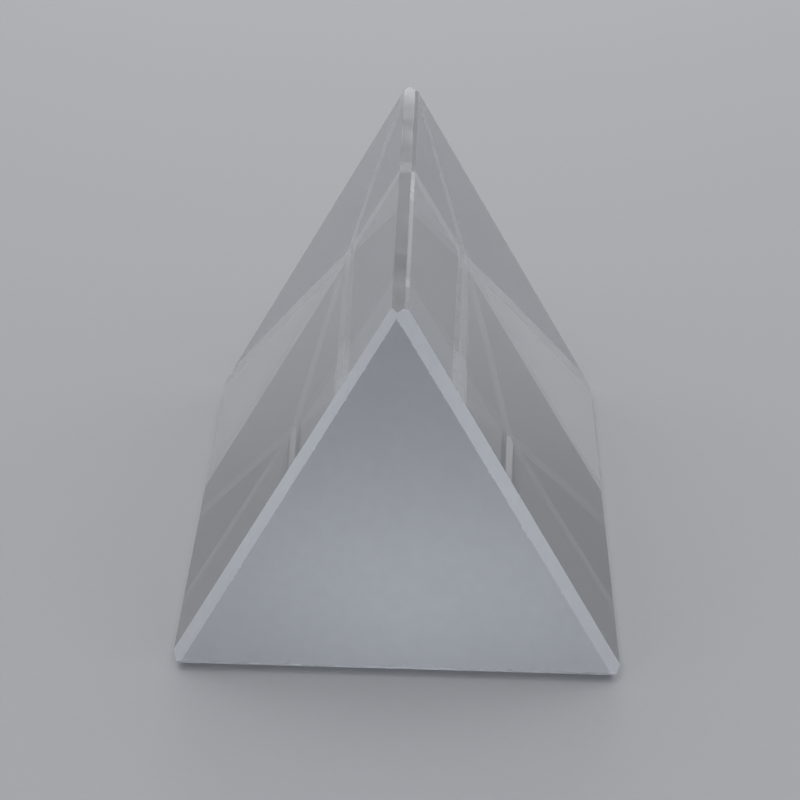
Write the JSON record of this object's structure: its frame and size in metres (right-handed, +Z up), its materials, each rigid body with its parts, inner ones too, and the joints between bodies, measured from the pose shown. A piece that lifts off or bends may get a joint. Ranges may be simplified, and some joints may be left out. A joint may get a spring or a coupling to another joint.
{
  "type": "glass prism",
  "caption": "Equilateral triangular block of clear optical glass with polished long faces, ground ends and bevelled edges, for bending and dispersing light.",
  "frame": {"origin": "middle of the base face, on the surface that the block stands on", "axes": "+Z up from the base to the top edge, +Y along the length towards the far ground end, +X towards the right-hand face"},
  "size_m": [0.029, 0.05, 0.0251],
  "materials": {
    "optical_glass": "clear crown glass, long faces polished, ends and bevels ground to a fine matt"
  },
  "bodies": {
    "root": {"prism_block": "optical_glass"}
  },
  "joints": []
}
